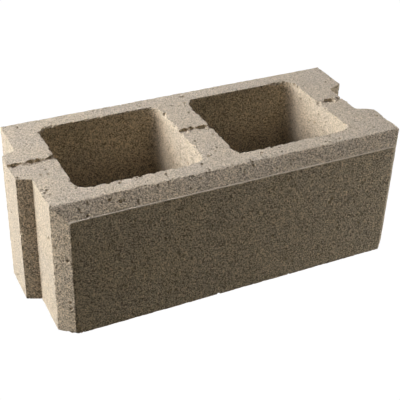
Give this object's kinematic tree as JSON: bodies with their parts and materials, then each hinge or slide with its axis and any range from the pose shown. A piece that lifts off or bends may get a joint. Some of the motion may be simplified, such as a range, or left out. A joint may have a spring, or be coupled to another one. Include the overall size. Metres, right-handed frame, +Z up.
{
  "type": "concrete block",
  "caption": "Hollow concrete walling block with upright cores, a tongue end, a grooved end and a chamfered fair face.",
  "frame": {"origin": "middle of the underside of the box around the block and its tongue", "axes": "+X along the block's length, from the tongue end to the groove end; +Y from the fair front face to the back face; +Z up, along the cores"},
  "size_m": [0.415, 0.185, 0.15],
  "materials": {
    "concrete": "matt, sandy, warm grey pressed concrete with open pores"
  },
  "bodies": {
    "root": {"concrete_block": "concrete"}
  },
  "joints": []
}
